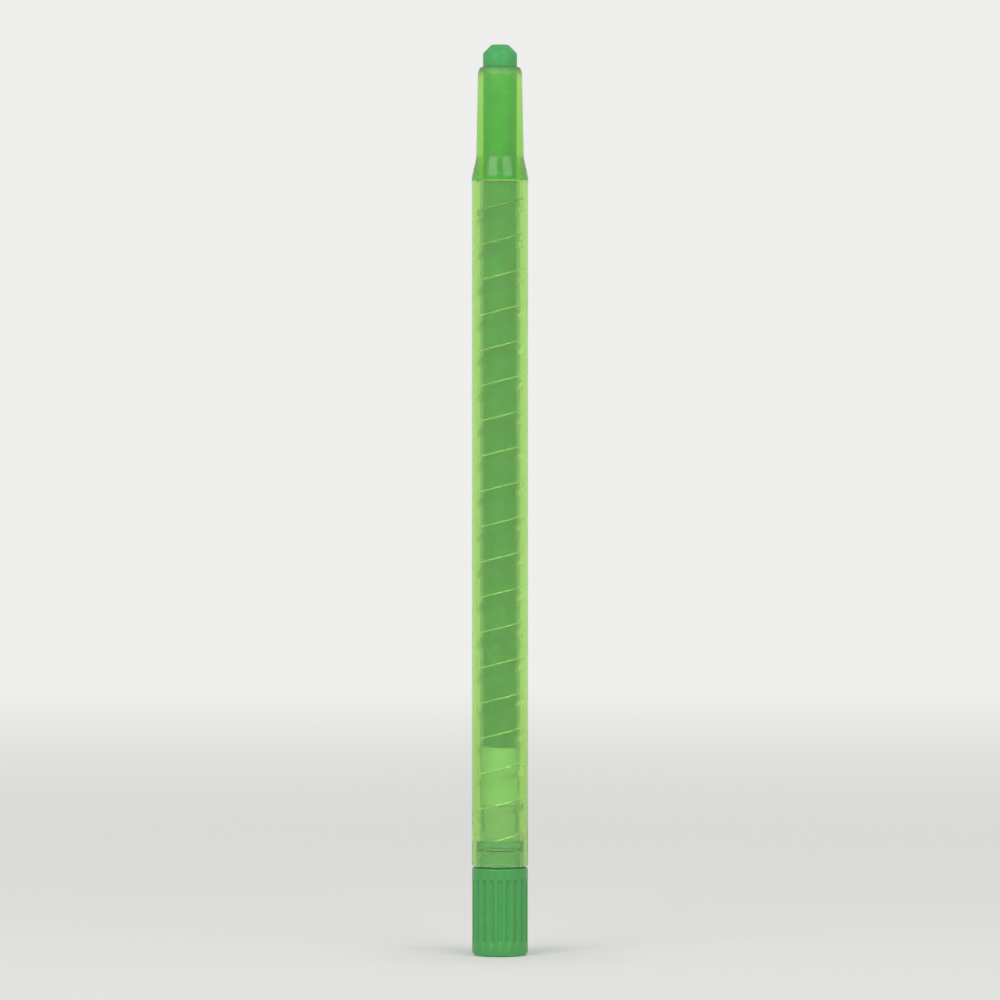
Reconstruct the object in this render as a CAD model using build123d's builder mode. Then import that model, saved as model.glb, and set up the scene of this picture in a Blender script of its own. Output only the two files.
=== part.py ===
"""Twist crayon: a wax stick that a knob winds out of a clear, tapered-nose barrel.

The knob turns a slotted fork tube. The fork carries a small holder round with it, and the holder's
two pins follow a helical groove in a sleeve fixed inside the barrel, so the wax turns and climbs.
The foot of the knob lies on Z = 0, and Z runs up the axis to the wax tip.
"""

import math
import os

from build123d import *

# Driving sizes, in millimetres

# Wax stick
wax_diameter = 5.4
wax_tip_diameter = 2.8
wax_tip_height = 1.35
wax_edge_round = 0.4
wax_showing = 3.6  # how far the tip stands out of the nose
wax_hidden = 1.4  # how far the tip sinks below the rim when it is wound right in
wax_spigot_diameter = 4.4
wax_spigot_length = 3.8

# Barrel, from its foot to the rim of the nose
barrel_length = 109.65  # the straight, full-diameter stretch
barrel_wall = 0.65
barrel_foot_chamfer = 0.15
shoulder_length = 3.1
shoulder_blend = 1.0
bore_step_drop = 0.5  # the wide bore stops this far below the shoulder
nose_length = 14.4
nose_wall = 0.75  # at the rim
nose_taper = 0.27  # growth of the nose's radius from rim to root
nose_round_height = 1.6  # the rim is rounded over as a half bullnose, taller than it is wide
nose_rim_land = 0.12  # flat ring left on the rim between its round and the mouth's chamfer
nose_mouth_chamfer = 0.08

# Spiral sleeve, fixed in the barrel
helix_pitch = 5.6
groove_depth = 0.32
sleeve_skin = 0.18  # wall left behind the groove
key_count = 2
key_height = 0.25
key_width = 1.2
key_length = 5.0

# Fork tube, turned by the knob
fork_wall = 0.45
fork_slot_land = 1.4  # solid ring between the flange and the slots
fork_crown = 2.2  # solid ring above the slots
flange_height = 1.2
tail_notch_height = 6.0

# Carrier, which holds the wax
pin_diameter = 0.8
carrier_skirt = 1.4  # body below the lower pin
carrier_head = 1.2  # body between the upper pin and the socket's floor
carrier_socket_depth = 4.0
carrier_foot_chamfer = 0.3

# Tail collar, pressed into the barrel's foot
collar_height = 2.6
collar_chamfer = 0.2

# Twist knob
knob_height = 14.0
knob_floor = 3.0  # under the fork's tail
knob_inset = 0.05  # the knob is this much smaller than the barrel, on the radius
knob_foot_round = 0.7
knob_top_round = 0.25
flute_count = 20
flute_radius = 0.55
flute_depth = 0.28
flute_margin_foot = 2.0
flute_margin_top = 1.8
dimple_diameter = 2.4
dimple_depth = 0.3

# Clearances
wax_slip = 0.1  # wax in the fork tube and in the nose, on the radius
carrier_slip = 0.06
run_clearance = 0.08  # fork tube turning in the sleeve, the collar and the barrel, on the radius
seat_clearance = 0.02  # parts pressed together, on the radius
key_clearance = 0.05
pin_slip = 0.1  # each side of a pin, in its slot and in the groove
pin_end_gap = 0.08
end_play = 0.15  # each side of the thrust flange, and above the fork tube
stop_gap = 0.1  # between a pin and the end of its slot at the end of the travel
knob_gap = 0.25  # between the knob and the barrel

# Radii, from the wax outwards

wax_radius = wax_diameter / 2
fork_bore_radius = wax_radius + wax_slip
fork_radius = fork_bore_radius + fork_wall
sleeve_bore_radius = fork_radius + run_clearance
groove_radius = sleeve_bore_radius + groove_depth
sleeve_radius = groove_radius + sleeve_skin
barrel_bore_radius = sleeve_radius + seat_clearance
barrel_radius = barrel_bore_radius + barrel_wall
nose_bore_radius = fork_bore_radius
nose_rim_radius = nose_bore_radius + nose_wall
nose_round_width = nose_wall - nose_mouth_chamfer - nose_rim_land
nose_root_radius = nose_rim_radius + nose_taper
flange_radius = barrel_bore_radius - run_clearance
carrier_radius = fork_bore_radius - carrier_slip
spigot_radius = wax_spigot_diameter / 2
socket_radius = spigot_radius + seat_clearance
pin_radius = pin_diameter / 2
pin_reach = groove_radius - pin_end_gap
slot_width = pin_diameter + 2 * pin_slip
knob_radius = barrel_radius - knob_inset
knob_bore_radius = fork_radius + seat_clearance
drive_key_reach = fork_wall + seat_clearance
drive_key_width = slot_width - 2 * key_clearance

# Heights, from the foot up

barrel_foot = knob_height + knob_gap
shoulder_foot = barrel_foot + barrel_length
nose_foot = shoulder_foot + shoulder_length
rim_top = nose_foot + nose_length
wax_top = rim_top + wax_showing
bore_step = shoulder_foot - bore_step_drop
collar_top = barrel_foot + collar_height
flange_foot = collar_top + end_play
flange_top = flange_foot + flange_height
sleeve_foot = flange_top + end_play
fork_foot = knob_floor
fork_top = bore_step - end_play
slot_foot = flange_top + fork_slot_land
slot_top = fork_top - fork_crown

# Travel of the carrier, set by the two ends of the fork's slots

wind_in = wax_showing + wax_hidden
low_pin = slot_foot + pin_radius + stop_gap + wind_in
high_pin = low_pin + helix_pitch / 2  # half a turn further along the groove
wind_out = slot_top - pin_radius - stop_gap - high_pin
carrier_foot = low_pin - carrier_skirt
socket_floor = high_pin + carrier_head
carrier_top = socket_floor + carrier_socket_depth
spigot_foot = carrier_top - wax_spigot_length

os.makedirs("parts", exist_ok=True)


# Barrel: one clear moulding, with two keyways that stop the sleeve from turning
with BuildPart() as barrel:
    with BuildSketch(Plane.XZ):
        with BuildLine():
            Polyline(
                (0, barrel_foot),
                (barrel_radius, barrel_foot),
                (barrel_radius, shoulder_foot),
                (nose_root_radius, nose_foot),
                (nose_rim_radius, rim_top - nose_round_height),
            )
            EllipticalCenterArc(
                (nose_rim_radius - nose_round_width, rim_top - nose_round_height),
                x_radius=nose_round_width,
                y_radius=nose_round_height,
                arc_size=90,
            )
            Polyline(
                (nose_rim_radius - nose_round_width, rim_top),
                (0, rim_top),
                (0, barrel_foot),
            )
        make_face()
    revolve(axis=Axis.Z)
    fillet(barrel.edges().filter_by(GeomType.CIRCLE).sort_by(Axis.Z)[1:3], shoulder_blend)
    chamfer(barrel.edges().filter_by(GeomType.CIRCLE).sort_by(Axis.Z)[0], barrel_foot_chamfer)
    with BuildSketch(Plane.XY.offset(barrel_foot)):
        Circle(barrel_bore_radius)
    extrude(amount=bore_step - barrel_foot, mode=Mode.SUBTRACT)
    with BuildSketch(Plane.XY.offset(bore_step)):
        Circle(nose_bore_radius)
    extrude(amount=rim_top - bore_step, mode=Mode.SUBTRACT)
    chamfer(barrel.edges().group_by(Axis.Z)[-1].sort_by(SortBy.RADIUS)[0], nose_mouth_chamfer)
    with BuildSketch(Plane.XY.offset(barrel_foot)):
        with PolarLocations(barrel_bore_radius, key_count):
            Rectangle(2 * (key_height + key_clearance), key_width + 2 * key_clearance)
    extrude(amount=sleeve_foot + key_length + key_clearance - barrel_foot, mode=Mode.SUBTRACT)
barrel.part.label = "barrel"
export_step(barrel.part, "parts/barrel.step")


# Spiral sleeve: a thin tube with a right-hand groove inside, open at the foot so the pins can enter
with BuildPart() as spiral_sleeve:
    with BuildSketch(Plane.XY.offset(sleeve_foot)):
        Circle(sleeve_radius)
    extrude(amount=bore_step - sleeve_foot)
    with BuildSketch(Plane.XY.offset(sleeve_foot)):
        with PolarLocations(sleeve_radius, key_count):
            Rectangle(2 * key_height, key_width)
    extrude(amount=key_length)
    with BuildSketch(Plane.XY.offset(sleeve_foot)):
        Circle(sleeve_bore_radius)
    extrude(amount=bore_step - sleeve_foot, mode=Mode.SUBTRACT)
    # The groove passes through both pins at rest, so it starts whole turns below the lower one
    turns_below = math.ceil((low_pin - sleeve_foot) / helix_pitch)
    groove_start = low_pin - turns_below * helix_pitch
    groove_end = high_pin + wind_out + helix_pitch / 8
    with BuildLine() as groove_path:
        Helix(
            pitch=helix_pitch,
            height=groove_end - groove_start,
            radius=sleeve_bore_radius,
            center=(0, 0, groove_start),
        )
    groove_plane = Plane(
        origin=groove_path.line @ 0, x_dir=(1, 0, 0), z_dir=groove_path.line % 0
    )
    with BuildSketch(groove_plane):
        Rectangle(2 * groove_depth, slot_width)
    sweep(path=groove_path.line, is_frenet=True, mode=Mode.SUBTRACT)
spiral_sleeve.part.label = "spiral_sleeve"
export_step(spiral_sleeve.part, "parts/spiral_sleeve.step")


# Fork tube: two straight slots for the pins, a thrust flange, and a notched tail that the knob drives
with BuildPart() as fork_tube:
    with BuildSketch(Plane.XY.offset(fork_foot)):
        Circle(fork_radius)
    extrude(amount=fork_top - fork_foot)
    with BuildSketch(Plane.XY.offset(flange_foot)):
        Circle(flange_radius)
    extrude(amount=flange_height)
    with BuildSketch(Plane.XY.offset(fork_foot)):
        Circle(fork_bore_radius)
    extrude(amount=fork_top - fork_foot, mode=Mode.SUBTRACT)
    with BuildSketch(Plane.YZ):
        with Locations((0, (slot_foot + slot_top) / 2)):
            SlotOverall(slot_top - slot_foot, slot_width, rotation=90)
        with Locations((0, fork_foot)):
            Rectangle(slot_width, tail_notch_height, align=(Align.CENTER, Align.MIN))
    extrude(amount=flange_radius, both=True, mode=Mode.SUBTRACT)
fork_tube.part.label = "fork_tube"
export_step(fork_tube.part, "parts/fork_tube.step")


# Tail collar: the ring that keeps the fork's flange inside the barrel
with BuildPart() as tail_collar:
    with BuildSketch(Plane.XY.offset(barrel_foot)):
        Circle(sleeve_radius)
        Circle(fork_radius + run_clearance, mode=Mode.SUBTRACT)
    extrude(amount=collar_height)
    chamfer(tail_collar.edges().group_by(Axis.Z)[-1].sort_by(SortBy.RADIUS)[-1], collar_chamfer)
tail_collar.part.label = "tail_collar"
export_step(tail_collar.part, "parts/tail_collar.step")


# Carrier: a piston in the fork tube, with a socket for the wax and two pins half a turn apart
with BuildPart() as carrier:
    with BuildSketch(Plane.XY.offset(carrier_foot)):
        Circle(carrier_radius)
    extrude(amount=carrier_top - carrier_foot)
    chamfer(carrier.edges().group_by(Axis.Z)[0], carrier_foot_chamfer)
    with BuildSketch(Plane.XY.offset(carrier_top)):
        Circle(socket_radius)
    extrude(amount=-carrier_socket_depth, mode=Mode.SUBTRACT)
    for side, pin_height in ((1, low_pin), (-1, high_pin)):
        with BuildSketch(Plane(origin=(0, 0, pin_height), z_dir=(side, 0, 0))):
            Circle(pin_radius)
        extrude(amount=pin_reach)
carrier.part.label = "carrier"
export_step(carrier.part, "parts/carrier.step")


# Wax stick: a cast cylinder with a blunt cone at the tip and a spigot in the carrier's socket
with BuildPart() as wax_stick:
    with BuildSketch(Plane.XZ) as wax_section:
        with BuildLine():
            Polyline(
                (0, spigot_foot),
                (spigot_radius, spigot_foot),
                (spigot_radius, carrier_top),
                (wax_radius, carrier_top),
                (wax_radius, wax_top - wax_tip_height),
                (wax_tip_diameter / 2, wax_top),
                (0, wax_top),
                close=True,
            )
        make_face()
        tip_corners = wax_section.vertices().sort_by(Axis.Y)[-3:].sort_by(Axis.X)[-2:]
        fillet(tip_corners, wax_edge_round)
    revolve(axis=Axis.Z)
wax_stick.part.label = "wax_stick"
export_step(wax_stick.part, "parts/wax_stick.step")


# Twist knob: a fluted cup on the fork's tail, with two drive keys in the tail's notches
with BuildPart() as twist_knob:
    Cylinder(knob_radius, knob_height, align=(Align.CENTER, Align.CENTER, Align.MIN))
    fillet(twist_knob.edges().group_by(Axis.Z)[0], knob_foot_round)
    fillet(twist_knob.edges().group_by(Axis.Z)[-1], knob_top_round)
    with BuildSketch(Plane.XY.offset(flute_margin_foot)):
        with PolarLocations(knob_radius + flute_radius - flute_depth, flute_count):
            Circle(flute_radius)
    extrude(amount=knob_height - flute_margin_foot - flute_margin_top, mode=Mode.SUBTRACT)
    with BuildSketch(Plane.XY.offset(fork_foot)):
        Circle(knob_bore_radius)
        with PolarLocations(knob_bore_radius - drive_key_reach / 2, 2):
            Rectangle(drive_key_reach, drive_key_width, mode=Mode.SUBTRACT)
    extrude(amount=tail_notch_height - key_clearance, mode=Mode.SUBTRACT)
    with BuildSketch(Plane.XY.offset(fork_foot + tail_notch_height - key_clearance)):
        Circle(knob_bore_radius)
    extrude(until=Until.LAST, mode=Mode.SUBTRACT)
    with BuildSketch(Plane.XY):
        Circle(dimple_diameter / 2)
    extrude(amount=dimple_depth, mode=Mode.SUBTRACT)
twist_knob.part.label = "twist_knob"
export_step(twist_knob.part, "parts/twist_knob.step")

pitch_per_radian = helix_pitch / (2 * math.pi)
print(f"barrel radius {barrel_radius:.3f}, straight from {barrel_foot:.3f} to {shoulder_foot:.3f}")
print(f"rim {rim_top:.3f}, tip {wax_top:.3f}, bore step {bore_step:.3f}")
print(f"travel in {wind_in:.3f} mm, out {wind_out:.3f} mm, {pitch_per_radian:.6f} mm per radian")
print(f"turns in {wind_in / helix_pitch:.4f}, out {wind_out / helix_pitch:.4f}")
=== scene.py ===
"""Looks of a twist crayon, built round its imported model.

Every piece is a finer mesh in the place of its solid, with its own finish. Lengths are in metres.
The foot of the knob stands on Z = 0, and Z runs up the axis to the wax tip.
"""

import math

import bmesh
import bpy
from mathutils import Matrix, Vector


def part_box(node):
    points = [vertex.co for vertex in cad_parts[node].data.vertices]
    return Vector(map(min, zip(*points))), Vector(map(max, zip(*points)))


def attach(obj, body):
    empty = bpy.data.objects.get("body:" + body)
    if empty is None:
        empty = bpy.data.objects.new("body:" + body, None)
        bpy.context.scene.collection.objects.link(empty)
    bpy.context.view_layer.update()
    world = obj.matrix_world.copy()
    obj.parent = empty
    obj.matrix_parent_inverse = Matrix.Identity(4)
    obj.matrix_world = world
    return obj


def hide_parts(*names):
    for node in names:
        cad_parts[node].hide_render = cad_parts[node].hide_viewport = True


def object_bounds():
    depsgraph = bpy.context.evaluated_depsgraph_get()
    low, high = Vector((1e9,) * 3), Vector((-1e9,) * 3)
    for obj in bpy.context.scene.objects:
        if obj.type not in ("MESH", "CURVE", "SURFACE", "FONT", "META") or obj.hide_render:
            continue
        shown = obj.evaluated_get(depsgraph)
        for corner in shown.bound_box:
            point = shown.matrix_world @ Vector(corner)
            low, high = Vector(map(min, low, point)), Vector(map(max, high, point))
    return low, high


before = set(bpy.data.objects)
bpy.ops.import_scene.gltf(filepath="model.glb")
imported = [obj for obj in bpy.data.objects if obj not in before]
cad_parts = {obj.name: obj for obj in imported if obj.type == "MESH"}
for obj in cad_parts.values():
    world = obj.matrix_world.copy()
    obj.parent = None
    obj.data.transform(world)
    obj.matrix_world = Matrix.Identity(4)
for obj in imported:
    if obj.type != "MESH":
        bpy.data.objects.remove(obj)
cad_low, cad_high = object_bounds()

# Barrel: the outer tube with its shoulder and tapered nose, one injection moulding in clear plastic
# tinted lime green and polished in the mould. The rim of the nose is rounded over, and two keyways
# in the bore hold the spiral sleeve from turning.

barrel_low, barrel_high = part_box("barrel")
barrel_foot, rim_top = barrel_low.z, barrel_high.z
barrel_radius = barrel_high.x
barrel_wall = 0.00065
barrel_bore = barrel_radius - barrel_wall
nose_length = 0.0144
nose_bore = 0.0028
rim_wall = 0.00075
rim_radius = nose_bore + rim_wall
nose_flare = 0.00027
nose_root = rim_radius + nose_flare
shoulder_length = 0.0031
shoulder_blend = 0.001
nose_foot = rim_top - nose_length
shoulder_foot = nose_foot - shoulder_length
step_drop = 0.0005
bore_step = shoulder_foot - step_drop
round_width, round_height = 0.00055, 0.0016
round_steps = 14
foot_round = 0.00015
mouth_round = 0.00008
inner_round = 0.00006
keyway_half_width = 0.00065
keyway_depth = 0.0003
keyway_length = 0.00505
keyway_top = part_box("spiral_sleeve")[0].z + keyway_length
keyway_end = 0.00004
columns_round = 144
longest_face = 0.004
same_radius = 1e-6
rub_reach = 0.0024
rim_rub = 0.4
shoulder_rub = 0.12
lime_clear, lime_hazy = (0.985, 0.995, 0.95), (0.96, 0.985, 0.92)
lime_absorption = {"Color": (0.58, 0.895, 0.03), "Density": 1150}
scene = bpy.context.scene


def rounded(corners, steps=6):
    """Closed outline through corners (radius, height, rounding), with an arc in place of each corner.

    A guard point stands just beyond each end of an arc, so that the straight runs shade straight.
    """
    guard_share = 0.4
    outline = []
    for index, (radius, height, rounding) in enumerate(corners):
        corner = Vector((radius, height))
        if rounding == 0:
            outline.append(corner)
            continue
        back = (Vector(corners[index - 1][:2]) - corner).normalized()
        ahead = (Vector(corners[(index + 1) % len(corners)][:2]) - corner).normalized()
        half_angle = back.angle(ahead) / 2
        reach = rounding / math.tan(half_angle)
        centre = corner + (back + ahead).normalized() * rounding / math.sin(half_angle)
        first = corner + back * reach - centre
        turn = first.angle_signed(corner + ahead * reach - centre)
        guard = guard_share * rounding
        outline.append(corner + back * (reach + guard))
        for step in range(steps + 1):
            angle = -turn * step / steps
            swung = Vector((
                first.x * math.cos(angle) - first.y * math.sin(angle),
                first.x * math.sin(angle) + first.y * math.cos(angle),
            ))
            outline.append(centre + swung)
        outline.append(corner + ahead * (reach + guard))
    return outline


def divided(outline):
    """The outline with its long straight runs divided."""
    points = [outline[0]]
    for here, there in zip(outline, outline[1:]):
        pieces = max(1, math.ceil((there - here).length / longest_face))
        points.extend(here.lerp(there, piece / pieces) for piece in range(1, pieces + 1))
    return points


def closed(outline):
    """The divided outline with its first point again at its end."""
    return divided([*outline, outline[0]])


def turned(outline, columns, shape=None):
    """Sheet of points: the outline swung once round the axis, with its last column on its first.

    shape(radius, height, angle), where there is one, gives the radius that a point really has.
    """
    sheet = []
    for radius, height in outline:
        row = []
        for column in range(columns + 1):
            angle = 2 * math.pi * (column % columns) / columns
            reach = shape(radius, height, angle) if shape else radius
            row.append((reach * math.cos(angle), reach * math.sin(angle), height))
        sheet.append(row)
    return sheet


def smoothed(mesh):
    """Shades the mesh smooth, apart from its sharp edges."""
    crease = math.radians(40)
    mesh.shade_smooth()
    mesh.set_sharp_from_angle(angle=crease)


def skinned(name, *sheets):
    """One mesh: faces between neighbouring rows of each sheet, welded where sheets meet."""
    weld = 1e-8
    shell = bmesh.new()
    for sheet in sheets:
        rows = [[shell.verts.new(point) for point in row] for row in sheet]
        for low, high in zip(rows, rows[1:]):
            for quad in zip(low, low[1:], high[1:], high):
                shell.faces.new(quad)
    bmesh.ops.remove_doubles(shell, verts=shell.verts, dist=weld)
    bmesh.ops.recalc_face_normals(shell, faces=shell.faces)
    mesh = bpy.data.meshes.new(name)
    shell.to_mesh(mesh)
    shell.free()
    smoothed(mesh)
    piece = bpy.data.objects.new(name, mesh)
    scene.collection.objects.link(piece)
    return piece


class Wire:
    """A value in a tree of shader nodes, so that shader maths is written as Python."""

    def __init__(self, tree, socket=None):
        self.tree = tree
        self.socket = socket

    def node(self, kind, settings, sockets, output=0):
        """Adds a node, sets its settings, then its sockets' values or links, and gives one output."""
        made = self.tree.nodes.new(kind)
        for setting, value in settings.items():
            if setting == "stops":
                ramp = made.color_ramp.elements
                while len(ramp) < len(value):
                    ramp.new(1)
                for stop, (place, level) in zip(ramp, value):
                    stop.position = place
                    stop.color = (level, level, level, 1)
            else:
                setattr(made, setting, value)
        for key, value in sockets.items():
            socket = made.inputs[key]
            if isinstance(value, Wire):
                self.tree.links.new(value.socket, socket)
            elif socket.type == "RGBA":
                socket.default_value = (*value, 1)
            else:
                socket.default_value = value
        return Wire(self.tree, made.outputs[output] if made.outputs else None)

    def maths(self, operation, first, second):
        """A Math node on two values."""
        return self.node("ShaderNodeMath", {"operation": operation}, {0: first, 1: second})

    def __add__(self, other):
        return self.maths("ADD", self, other)

    __radd__ = __add__

    def __sub__(self, other):
        return self.maths("SUBTRACT", self, other)

    def __rsub__(self, other):
        return self.maths("SUBTRACT", other, self)

    def __mul__(self, other):
        return self.maths("MULTIPLY", self, other)

    __rmul__ = __mul__

    def places(self, stretch=(1, 1, 1)):
        """Points of the piece in its own frame, stretched along the axes."""
        own = self.node("ShaderNodeTexCoord", {}, {}, "Object")
        return self.node("ShaderNodeVectorMath", {"operation": "MULTIPLY"}, {0: own, 1: stretch})

    def noise(self, size, detail=2.0, stretch=(1, 1, 1)):
        """Cloudy noise from 0 to 1, whose patches are about this size."""
        return self.node(
            "ShaderNodeTexNoise",
            {"noise_dimensions": "3D"},
            {"Vector": self.places(stretch), "Scale": 1 / size, "Detail": detail},
        )

    def ramp(self, *stops):
        """This value read off a ramp of (place, level) stops."""
        return self.node("ShaderNodeValToRGB", {"stops": stops}, {"Fac": self})

    def tint(self, first, second):
        """The first colour where this value is 0, the second where it is 1."""
        sockets = {0: self, 6: first, 7: second}
        return self.node("ShaderNodeMix", {"data_type": "RGBA"}, sockets, 2)

    def rise(self, start, full):
        """Smooth step: 0 where this value is at the start or below, 1 at the full value and above."""
        sockets = {"Value": self, "From Min": start, "From Max": full}
        return self.node("ShaderNodeMapRange", {"interpolation_type": "SMOOTHSTEP"}, sockets)

    def relief(self, depth):
        """Normal of a surface that this value raises by up to the depth."""
        return self.node("ShaderNodeBump", {}, {"Height": self, "Strength": 1.0, "Distance": depth})


def blank_nodes(owner):
    """Empties the nodes of a material or a world, and gives the start of its shader maths."""
    owner.use_nodes = True
    owner.node_tree.nodes.clear()
    return Wire(owner.node_tree)


def finish(piece, name, surface, absorption=None):
    """Gives the piece a new material; surface(wire) returns the sockets of its shader."""
    material = bpy.data.materials.new(name)
    wire = blank_nodes(material)
    output = {"Surface": wire.node("ShaderNodeBsdfPrincipled", {}, surface(wire))}
    if absorption:
        output["Volume"] = wire.node("ShaderNodeVolumeAbsorption", {}, absorption)
    wire.node("ShaderNodeOutputMaterial", {}, output)
    piece.data.materials.append(material)


def keyed(radius, height, angle):
    """Radius of the barrel's wall, deeper where a keyway is cut in the bore."""
    in_bore = abs(radius - barrel_bore) < same_radius
    if in_bore and height <= keyway_top and abs(radius * math.sin(angle)) < keyway_half_width:
        return radius + keyway_depth
    return radius


rim_round = []
for step in range(round_steps + 1):
    swing = math.pi / 2 * step / round_steps
    rim_round.append((
        rim_radius - round_width + round_width * math.cos(swing),
        rim_top - round_height + round_height * math.sin(swing),
        0,
    ))
barrel_outline = rounded([
    (barrel_radius, barrel_foot, foot_round),
    (barrel_radius, shoulder_foot, shoulder_blend),
    (nose_root, nose_foot, shoulder_blend),
    *rim_round,
    (nose_bore, rim_top, mouth_round),
    (nose_bore, bore_step, inner_round),
    (barrel_bore, bore_step, inner_round),
    (barrel_bore, keyway_top + keyway_end, 0),
    (barrel_bore, keyway_top, 0),
    (barrel_bore, barrel_foot, inner_round),
])
clear_barrel = skinned("clear_barrel", turned(closed(barrel_outline), columns_round, keyed))


def lime_clear_plastic(wire):
    """Polished tinted plastic: faint haze, hair scratches along it, and a rubbed rim and shoulder."""
    haze = wire.noise(0.006, 3).ramp((0.35, 0), (0.75, 1))
    scratches = wire.noise(0.0005, 2, (1, 1, 0.04)).ramp((0.62, 0), (0.75, 1))
    flow = wire.noise(0.003, 1, (1, 1, 0.35))
    height = wire.node("ShaderNodeSeparateXYZ", {}, {"Vector": wire.places()}, "Z")
    near_rim = height.rise(rim_top - rub_reach, rim_top)
    above_barrel = height.rise(shoulder_foot - shoulder_blend, shoulder_foot)
    up_nose = height.rise(nose_foot, nose_foot + shoulder_blend)
    rubbed = near_rim * rim_rub + (above_barrel - up_nose) * shoulder_rub
    return {
        "Base Color": haze.tint(lime_clear, lime_hazy),
        "Roughness": 0.03 + haze * 0.04 + scratches * 0.05 + rubbed,
        "IOR": 1.5,
        "Transmission Weight": 0.975,
        "Normal": flow.relief(0.00001),
    }


finish(clear_barrel, "lime_clear_plastic", lime_clear_plastic, lime_absorption)
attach(clear_barrel, "barrel")
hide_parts("barrel")

# Spiral sleeve: a thin moulded tube of clear natural plastic with a chamfered mouth, pushed up the
# barrel's bore from the foot. A right-hand groove inside, with a sloped lower flank, guides the
# carrier's pins, and two ribs outside sit in the keyways.

sleeve_low, sleeve_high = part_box("spiral_sleeve")
seat_gap = 0.00003
press_gap = 0.00002
sleeve_foot, sleeve_top = sleeve_low.z, sleeve_high.z - seat_gap
sleeve_radius = barrel_bore - press_gap
sleeve_bore = 0.00333
mouth_chamfer = 0.0002
mouth_foot = sleeve_top - mouth_chamfer
helix_pitch = 0.0056
groove_at_x = 0.0251
groove_end = 0.12125
run_out = math.radians(9)
groove_depth = 0.00032
floor_half_width = 0.00042
upper_flank = 0.0002
lower_flank = 0.0014
rib_half_width = 0.0006
rib_height = 0.00025
rib_length = 0.005
rib_top = sleeve_foot + rib_length
flank_shares = (-0.15, 0, 0.15, 0.3, 0.5, 0.7, 0.85, 1, 1.15)
land_shares = (0.2, 0.3, 0.4, 0.5, 0.6)
natural_clear, natural_cloudy = (0.97, 0.985, 0.94), (0.93, 0.96, 0.89)


def eased(low, high, value):
    """Smooth step from 0 at low to 1 at high."""
    share = min(1, max(0, (value - low) / (high - low)))
    return share * share * (3 - 2 * share)


def grooved(height, angle):
    """Radius of the sleeve's inside at a height and an angle."""
    round_share = angle / (2 * math.pi)
    climb = (height - groove_at_x) / helix_pitch - round_share
    turn = round(climb)
    above_centre = (climb - turn) * helix_pitch
    along = (turn + round_share) * 2 * math.pi
    last = (groove_end - groove_at_x) / helix_pitch * 2 * math.pi
    depth = groove_depth * (1 - eased(last, last + run_out, along))
    flank = upper_flank if above_centre > 0 else lower_flank
    rise = eased(floor_half_width, floor_half_width + flank, abs(above_centre))
    return sleeve_bore + depth * (1 - rise)


def ribbed(radius, height, angle):
    """Radius of the sleeve's outside, raised at the two ribs near its foot."""
    if height <= rib_top and abs(radius * math.sin(angle)) < rib_half_width:
        return radius + rib_height
    return radius


# The rows of the inside climb with the groove, and lie closest together on its flanks.
upper_rows = [floor_half_width + share * upper_flank for share in flank_shares]
lower_rows = [-floor_half_width - share * lower_flank for share in flank_shares]
land_rows = [share * helix_pitch for share in land_shares]
turn_rows = sorted([*lower_rows, 0, *upper_rows, *land_rows])
first_turn = math.floor((sleeve_foot - groove_at_x) / helix_pitch) - 1
last_turn = math.ceil((sleeve_top - groove_at_x) / helix_pitch)
inside = []
for turn in range(first_turn, last_turn + 1):
    for offset in turn_rows:
        row = []
        for column in range(columns_round + 1):
            share = column / columns_round
            angle = 2 * math.pi * share
            free_height = groove_at_x + (turn + share) * helix_pitch + offset
            height = min(mouth_foot, max(sleeve_foot, free_height))
            reach = grooved(height, angle)
            row.append((reach * math.cos(angle), reach * math.sin(angle), height))
        inside.append(row)
mouth_outline = [(sleeve_bore, mouth_foot), (sleeve_bore + mouth_chamfer, sleeve_top)]
mouth = turned(mouth_outline, columns_round)
outside_outline = [
    (sleeve_radius, sleeve_foot),
    (sleeve_radius, rib_top),
    (sleeve_radius, rib_top + keyway_end),
    (sleeve_radius, sleeve_top),
]
outside = turned(outside_outline, columns_round, ribbed)
foot_ring = [inside[0], outside[0]]
top_ring = [mouth[-1], outside[-1]]
wound_sleeve = skinned("wound_sleeve", inside, mouth, outside, foot_ring, top_ring)


def clear_natural_plastic(wire):
    """Undyed clear plastic, a little cloudy, with the flow marks of a thin moulding."""
    cloud = wire.noise(0.004, 3).ramp((0.3, 0), (0.8, 1))
    flow = wire.noise(0.002, 2, (1, 1, 0.2))
    return {
        "Base Color": cloud.tint(natural_clear, natural_cloudy),
        "Roughness": 0.07 + cloud * 0.08,
        "IOR": 1.49,
        "Transmission Weight": 1.0,
        "Normal": flow.relief(0.00001),
    }


finish(wound_sleeve, "clear_natural_plastic", clear_natural_plastic)
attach(wound_sleeve, "barrel")
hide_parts("spiral_sleeve")

# Carrier: a small piston of natural white plastic. Its socket holds the wax, and its two pins, half a
# turn apart, stand through the fork's slots into the groove, so it climbs when the fork turns.

carrier_low, carrier_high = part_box("carrier")
carrier_foot, carrier_top = carrier_low.z, carrier_high.z
carrier_radius = 0.00274
socket_radius = 0.00222
socket_depth = 0.004
socket_floor = carrier_top - socket_depth
foot_chamfer = 0.0003
pin_radius = 0.0004
pin_reach = carrier_high.x
pin_sides = 24
pin_edge = 0.00006
pin_heights = {1: groove_at_x, -1: groove_at_x + helix_pitch / 2}
white_fresh, white_yellowed = (0.88, 0.89, 0.84), (0.80, 0.82, 0.74)


def solid(corners, steps=4):
    """Outline of a piece with no hole on its axis: it starts and ends on the axis."""
    return divided(rounded(corners, steps))


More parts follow.
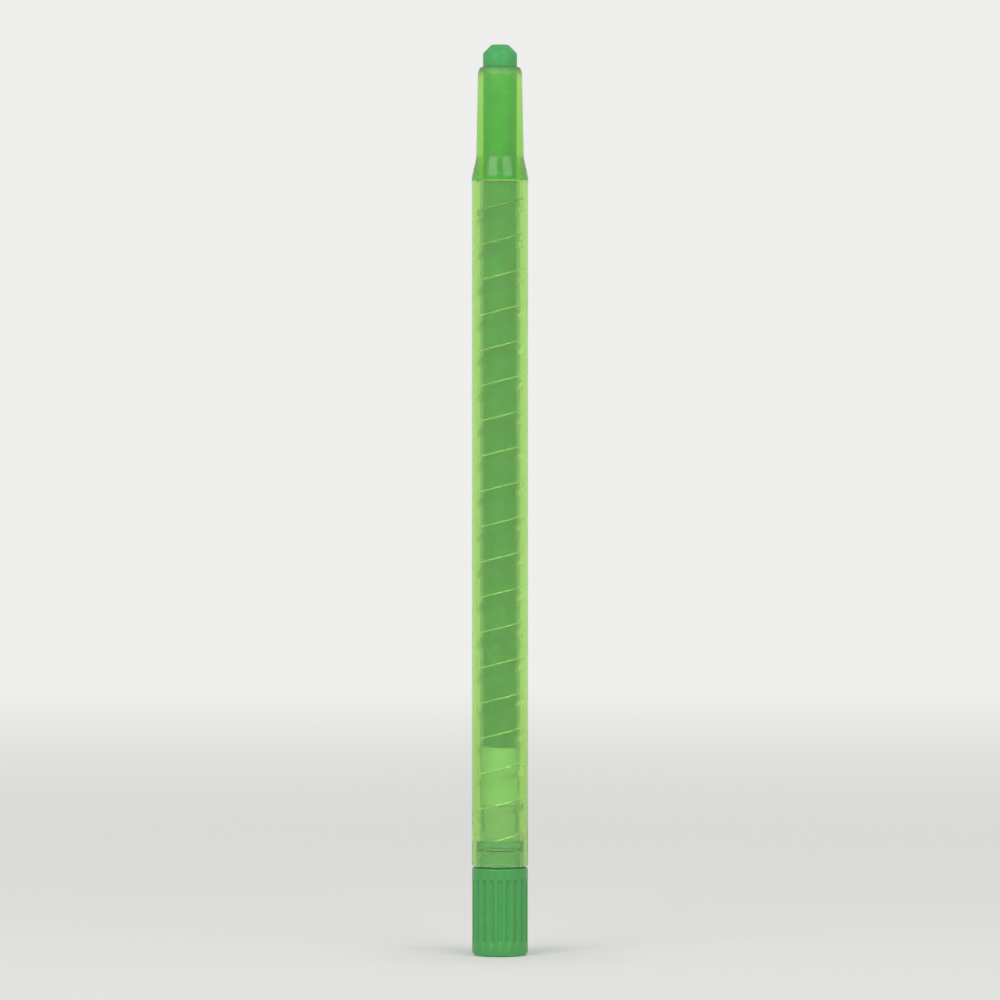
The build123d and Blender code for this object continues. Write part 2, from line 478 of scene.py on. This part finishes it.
def joined(piece, other, operation):
    """Adds the other mesh to the piece, or cuts it out, and removes it."""
    least_edge = 1e-8
    change = piece.modifiers.new("joined", "BOOLEAN")
    change.operation = operation
    change.solver = "EXACT"
    change.object = other
    graph = bpy.context.evaluated_depsgraph_get()
    mesh = bpy.data.meshes.new_from_object(piece.evaluated_get(graph))
    piece.modifiers.clear()
    piece.data = mesh
    bpy.data.objects.remove(other)
    shell = bmesh.new()
    shell.from_mesh(mesh)
    bmesh.ops.dissolve_degenerate(shell, dist=least_edge, edges=shell.edges)
    shell.to_mesh(mesh)
    shell.free()
    smoothed(mesh)


wax_carrier = skinned("wax_carrier", turned(solid([
    (0, carrier_foot, 0),
    (carrier_radius - foot_chamfer, carrier_foot, inner_round),
    (carrier_radius, carrier_foot + foot_chamfer, inner_round),
    (carrier_radius, carrier_top, inner_round),
    (socket_radius, carrier_top, inner_round),
    (socket_radius, socket_floor, inner_round),
    (0, socket_floor, 0),
]), columns_round))
for side, height in pin_heights.items():
    pin = skinned("pin", turned(solid([
        (0, 0, 0),
        (pin_radius, 0, inner_round),
        (pin_radius, pin_reach, pin_edge),
        (0, pin_reach, 0),
    ]), pin_sides))
    for vertex in pin.data.vertices:
        across, along, out = vertex.co
        vertex.co = (side * out, side * along, height + across)
    joined(wax_carrier, pin, "UNION")


def natural_white_plastic(wire):
    """Undyed opaque plastic with a fine matt grain, yellowed a little in patches."""
    cloud = wire.noise(0.002, 3)
    grain = wire.noise(0.00012, 3)
    return {
        "Base Color": cloud.tint(white_fresh, white_yellowed),
        "Roughness": 0.4 + cloud * 0.2,
        "Subsurface Weight": 0.2,
        "Subsurface Radius": (0.0006, 0.0006, 0.0005),
        "Subsurface Scale": 1.0,
        "Normal": grain.relief(0.000006),
    }


finish(wax_carrier, "natural_white_plastic", natural_white_plastic)
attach(wax_carrier, "slider")
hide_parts("carrier")

# Wax stick: mid-green wax cast as a rod with a blunt cone at the tip, and a thinner spigot at its
# foot that is set in the carrier's socket. It turns and climbs with the carrier.

wax_low, wax_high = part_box("wax_stick")
spigot_foot, wax_top = wax_low.z, wax_high.z
wax_radius = 0.0027
spigot_radius = 0.0022
tip_radius = 0.0014
tip_height = 0.00135
tip_round = 0.0004
spigot_round = 0.0001
cast_ripple = 0.000008
oval_twist = 140
lobed_twist, lobed_start, lobed_share = -310, 1, 0.6
pigment_dark, pigment_light = (0.055, 0.385, 0.095), (0.080, 0.455, 0.130)
bloom_colour = (0.20, 0.60, 0.28)
# Painted shade: the darker colour put in the pits of the wax.
pit_shade_colour = (0.05, 0.29, 0.07)


def cast(radius, height, angle):
    """Radius of the wax, with the slight unevenness that it has from its mould."""
    oval = math.sin(2 * angle + oval_twist * height)
    lobed = math.sin(3 * angle + lobed_twist * height + lobed_start)
    swell = oval + lobed_share * lobed
    return radius * (1 + cast_ripple / wax_radius * swell) if radius > 0 else 0


wax_core = skinned("wax_core", turned(solid([
    (0, spigot_foot, 0),
    (spigot_radius, spigot_foot, spigot_round),
    (spigot_radius, carrier_top, 0),
    (wax_radius, carrier_top, spigot_round),
    (wax_radius, wax_top - tip_height, tip_round),
    (tip_radius, wax_top, tip_round),
    (0, wax_top, 0),
]), columns_round, cast))


def green_wax(wire):
    """Soft coloured wax: cloudy pigment, dull bloom, pits with painted shade, scuffs that run round the
    rod.
    """
    cloud = wire.noise(0.0025, 4).ramp((0.3, 0), (0.7, 1))
    bloom = wire.noise(0.0012, 5).ramp((0.52, 0), (0.8, 1))
    pits_and_shade = wire.noise(0.00035, 3).ramp((0.28, 1), (0.4, 0))
    grain = wire.noise(0.00015, 4)
    scuffs = wire.noise(0.0006, 3, (0.15, 0.15, 1)).ramp((0.55, 0), (0.75, 1))
    pigment = cloud.tint(pigment_dark, pigment_light)
    bloomed = (bloom * 0.35).tint(pigment, bloom_colour)
    height = grain * 0.35 + scuffs * 0.4 - pits_and_shade
    return {
        # Painted shade: the pits are coloured darker, as the shade that falls in them, and also pressed
        # in.
        "Base Color": (pits_and_shade * 0.35).tint(bloomed, pit_shade_colour),
        "Roughness": 0.42 + bloom * 0.18 + grain * 0.1,
        "IOR": 1.44,
        "Subsurface Weight": 0.15,
        "Subsurface Radius": (0.0005, 0.0009, 0.0005),
        "Subsurface Scale": 1.0,
        "Normal": height.relief(0.00003),
    }


finish(wax_core, "green_wax", green_wax)
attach(wax_core, "slider")
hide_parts("wax_stick")

# Fork tube: a clear tube with a light green tint round the wax, with two long slots for the carrier's
# pins, a thrust flange, and a notched tail that the knob grips. It turns in the sleeve.

fork_low, fork_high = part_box("fork_tube")
fork_foot, fork_top = fork_low.z, fork_high.z
fork_radius = 0.00325
fork_bore = 0.0028
flange_radius = fork_high.x
flange_foot = 0.017
flange_thickness = 0.0012
flange_top = flange_foot + flange_thickness
slot_half_width = 0.0005
slot_above_flange = 0.0014
slot_below_top = 0.0022
slot_foot = flange_top + slot_above_flange
slot_top = fork_top - slot_below_top
slot_arc_steps = 16
notch_length = 0.006
notch_top = fork_foot + notch_length
past_wall = 2 * flange_radius
green_absorption = {"Color": (0.1, 0.72, 0.70), "Density": 700}

slotted_fork = skinned("slotted_fork", turned(closed(rounded([
    (fork_radius, fork_foot, inner_round),
    (fork_radius, flange_foot, inner_round),
    (flange_radius, flange_foot, inner_round),
    (flange_radius, flange_top, inner_round),
    (fork_radius, flange_top, inner_round),
    (fork_radius, fork_top, inner_round),
    (fork_bore, fork_top, inner_round),
    (fork_bore, fork_foot, inner_round),
], 3)), columns_round))

slot_rim = []
for end, centre in ((1, slot_top - slot_half_width), (-1, slot_foot + slot_half_width)):
    for step in range(slot_arc_steps + 1):
        swing = math.pi * step / slot_arc_steps
        slot_rim.append((
            end * slot_half_width * math.cos(swing),
            centre + end * slot_half_width * math.sin(swing),
        ))
notch_rim = [
    (slot_half_width, fork_foot - slot_half_width),
    (slot_half_width, notch_top),
    (-slot_half_width, notch_top),
    (-slot_half_width, fork_foot - slot_half_width),
]
for rim in (slot_rim, notch_rim):
    ring = [*rim, rim[0]]
    middle = (sum(across for across, _ in rim) / len(rim), sum(up for _, up in rim) / len(rim))
    rows = [
        [(-past_wall, *middle)] * len(ring),
        [(-past_wall, *point) for point in ring],
        [(past_wall, *point) for point in ring],
        [(past_wall, *middle)] * len(ring),
    ]
    joined(slotted_fork, skinned("cutter", rows), "DIFFERENCE")

finish(slotted_fork, "green_clear_plastic", clear_natural_plastic, green_absorption)
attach(slotted_fork, "drive")
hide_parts("fork_tube")

# Tail collar: a plain ring of the fork's green clear plastic, pressed into the barrel's foot under the
# fork's flange, so that the fork can't be pulled out. Its upper edge is chamfered to enter the bore.

collar_low, collar_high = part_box("tail_collar")
collar_foot, collar_top = collar_low.z, collar_high.z
collar_chamfer = 0.0002

foot_collar = skinned("foot_collar", turned(closed(rounded([
    (sleeve_radius, collar_foot, inner_round),
    (sleeve_radius, collar_top - collar_chamfer, inner_round),
    (sleeve_radius - collar_chamfer, collar_top, inner_round),
    (sleeve_bore, collar_top, inner_round),
    (sleeve_bore, collar_foot, inner_round),
], 3)), columns_round))
foot_collar.data.materials.append(slotted_fork.data.materials[0])
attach(foot_collar, "barrel")
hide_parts("tail_collar")

# Twist knob: a cup of opaque green plastic with twenty flutes for the fingers, pressed on the fork's
# tail, where two keys in its bore fill the tail's notches. A shallow dimple marks where it was gated.

knob_low, knob_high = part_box("twist_knob")
knob_foot, knob_top = knob_low.z, knob_high.z
knob_inset = 0.00005
knob_radius = barrel_radius - knob_inset
knob_bore = 0.00327
base_thickness = 0.003
knob_floor = knob_foot + base_thickness
drive_key_reach = 0.00047
drive_key_half_width = 0.00045
drive_key_gap = 0.00005
drive_key_top = notch_top - drive_key_gap
knob_foot_round = 0.0007
knob_top_round = 0.00025
dimple_radius = 0.0012
dimple_depth = 0.0003
dimple_floor = knob_foot + dimple_depth
flute_count = 20
flute_radius = 0.00055
flute_depth = 0.00028
flute_above_foot = 0.002
flute_below_top = 0.0018
flute_foot = knob_foot + flute_above_foot
flute_top = knob_top - flute_below_top
flute_run_out = 0.0006
run_out_steps = 8
flute_guard = 0.00003
flute_columns = 16
crest_softness = 0.00003
crest_limit = 40
dye_dark, dye_light = (0.055, 0.345, 0.075), (0.070, 0.395, 0.090)
rubbed_green = (0.16, 0.52, 0.18)


def fluted(radius, height, angle):
    """Radius of the knob: flutes in its side, and the drive keys in its bore."""
    if abs(radius - knob_bore) < same_radius:
        on_key = height <= drive_key_top and abs(radius * math.sin(angle)) < drive_key_half_width
        return radius - drive_key_reach if on_key else radius
    if radius < knob_radius - same_radius:
        return radius
    into_end = max(flute_foot + flute_run_out - height, height - flute_top + flute_run_out, 0)
    share = min(1, into_end / flute_run_out)
    depth = flute_depth * math.sqrt(1 - share * share)
    pitch = 2 * math.pi / flute_count
    off_flute = (angle + pitch / 2) % pitch - pitch / 2
    centre = knob_radius + flute_radius - depth
    clear = flute_radius ** 2 - (centre * math.sin(off_flute)) ** 2
    if depth == 0 or clear <= 0:
        return radius
    cut = centre * math.cos(off_flute) - math.sqrt(clear)
    over = (cut - radius) / crest_softness
    return radius - crest_softness * math.log1p(math.exp(-over)) if over < crest_limit else radius


run_out_rise = [
    flute_run_out * (1 - math.cos(math.pi / 2 * step / run_out_steps))
    for step in range(run_out_steps + 1)
]
flute_heights = [
    flute_foot - flute_guard,
    *(flute_foot + rise for rise in run_out_rise),
    *(flute_top - rise for rise in reversed(run_out_rise)),
    flute_top + flute_guard,
]
fluted_knob = skinned("fluted_knob", turned(solid([
    (0, dimple_floor, 0),
    (dimple_radius, dimple_floor, inner_round),
    (dimple_radius, knob_foot, inner_round),
    (knob_radius, knob_foot, knob_foot_round),
    *((knob_radius, height, 0) for height in flute_heights),
    (knob_radius, knob_top, knob_top_round),
    (knob_bore, knob_top, inner_round),
    (knob_bore, drive_key_top + keyway_end, 0),
    (knob_bore, drive_key_top, 0),
    (knob_bore, knob_floor, 0),
    (0, knob_floor, 0),
]), flute_count * flute_columns, fluted))


def dyed_green_plastic(wire):
    """Satin moulded plastic, dyed through: fine mould grain, scuffs, and crests polished by fingers."""
    cloud = wire.noise(0.003, 3)
    grain = wire.noise(0.00014, 3)
    scuffs = wire.noise(0.0007, 4, (1, 1, 0.3)).ramp((0.58, 0), (0.72, 1))
    rubbed = wire.node("ShaderNodeNewGeometry", {}, {}, "Pointiness").ramp((0.5, 0), (0.56, 1))
    dye = cloud.tint(dye_dark, dye_light)
    return {
        "Base Color": (rubbed * 0.35 + scuffs * 0.12).tint(dye, rubbed_green),
        "Roughness": 0.34 + cloud * 0.08 + scuffs * 0.14 - rubbed * 0.1,
        "IOR": 1.5,
        "Subsurface Weight": 0.05,
        "Subsurface Radius": (0.0003, 0.0006, 0.0003),
        "Subsurface Scale": 1.0,
        "Normal": (grain + scuffs * 0.5).relief(0.000012),
    }


finish(fluted_knob, "dyed_green_plastic", dyed_green_plastic)
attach(fluted_knob, "drive")
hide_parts("twist_knob")

# Floor: a wide pale sheet under the crayon. Away from the crayon it fades into the pale surroundings
# for the camera and for what shows in and through the plastic, so that no horizon is seen. Close
# round the crayon's foot the fade is held back further, which paints a soft pool of shade there.

floor_half = 6.0
floor_colour, floor_fleck = (0.94, 0.94, 0.93), (0.925, 0.925, 0.915)
surround = (0.86, 0.86, 0.85)
# Painted shade: a darker pool this wide round the crayon's foot, where less glow is mixed into the
# floor.
painted_shade_radius = 0.03
painted_shade_fade, near_fade = 0.15, 0.5
fade_start, fade_end = 0.1, 1.2


def shown_ray(wire):
    """1 for a ray of the camera, or one that a glossy or clear surface sends on, and 0 for others."""
    rays = [
        wire.node("ShaderNodeLightPath", {}, {}, f"Is {kind} Ray")
        for kind in ("Camera", "Glossy", "Transmission")
    ]
    return wire.maths("MAXIMUM", rays[0], wire.maths("MAXIMUM", rays[1], rays[2]))


floor = skinned("floor", [
    [(-floor_half, -floor_half, 0), (floor_half, -floor_half, 0)],
    [(-floor_half, floor_half, 0), (floor_half, floor_half, 0)],
])
floor_material = bpy.data.materials.new("pale_floor")
wire = blank_nodes(floor_material)
reach = wire.node("ShaderNodeVectorMath", {"operation": "LENGTH"}, {0: wire.places()}, "Value")
# Painted shade: within that radius the glow fades out, so the floor is darker in a pool round the foot.
past_painted_shade = painted_shade_fade + (near_fade - painted_shade_fade) * reach.rise(0, painted_shade_radius)
far = past_painted_shade + (1 - near_fade) * reach.rise(fade_start, fade_end)
sheet = wire.node("ShaderNodeBsdfPrincipled", {}, {
    "Base Color": wire.noise(0.0015, 2).tint(floor_colour, floor_fleck),
    "Roughness": 0.8,
    "Specular IOR Level": 0.1,
})
glow = wire.node("ShaderNodeEmission", {}, {"Color": surround, "Strength": 1.0})
faded = wire.node("ShaderNodeMixShader", {}, {0: far * shown_ray(wire), 1: sheet, 2: glow})
wire.node("ShaderNodeOutputMaterial", {}, {"Surface": faded})
floor.data.materials.append(floor_material)

# Light: an even pale surround, and two soft boxes in front and above, to the left and to the right,
# which show on the shoulder as two pale patches. The left one is a little stronger.

fill_strength = 0.40
box_distance = 0.9
box_size = 0.58
soft_boxes = {
    "soft_box_left": (-34, 30, 3.2),
    "soft_box_right": (34, 30, 2.6),
}

world = bpy.data.worlds.new("pale_surround")
wire = blank_nodes(world)
strength = fill_strength + (1 - fill_strength) * shown_ray(wire)
background = wire.node("ShaderNodeBackground", {}, {"Color": surround, "Strength": strength})
wire.node("ShaderNodeOutputWorld", {}, {"Surface": background})
scene.world = world

aim = Vector((0, 0, shoulder_foot))
for name, (swing_degrees, rise_degrees, power) in soft_boxes.items():
    swing, rise = math.radians(swing_degrees), math.radians(rise_degrees)
    back = Vector((
        math.sin(swing) * math.cos(rise),
        -math.cos(swing) * math.cos(rise),
        math.sin(rise),
    ))
    lamp = bpy.data.lights.new(name, "AREA")
    lamp.shape = "SQUARE"
    lamp.size = box_size
    lamp.energy = power
    lamp_object = bpy.data.objects.new(name, lamp)
    lamp_object.location = aim + back * box_distance
    lamp_object.rotation_mode = "QUATERNION"
    lamp_object.rotation_quaternion = (-back).to_track_quat("-Z", "Y")
    scene.collection.objects.link(lamp_object)

# Camera: level, straight in front at the crayon's middle, far off with a long lens. Colours are shown
# as they are written, and a ray has enough bounces to get through all the clear walls.

frame_share = 0.91
lens = 180.0
sensor = 36.0
crayon_height = cad_high.z - cad_low.z
distance = crayon_height / frame_share * lens / sensor

camera_data = bpy.data.cameras.new("camera")
camera_data.lens = lens
camera_data.sensor_width = sensor
camera = bpy.data.objects.new("camera", camera_data)
camera.location = (0, -distance, (cad_low.z + cad_high.z) / 2)
camera.rotation_euler = (math.pi / 2, 0, 0)
scene.collection.objects.link(camera)
scene.camera = camera

scene.view_settings.view_transform = "Standard"
scene.cycles.blur_glossy = 0.0
scene.cycles.max_bounces = 96
scene.cycles.transmission_bounces = 48
scene.cycles.glossy_bounces = 48
scene.cycles.diffuse_bounces = 6
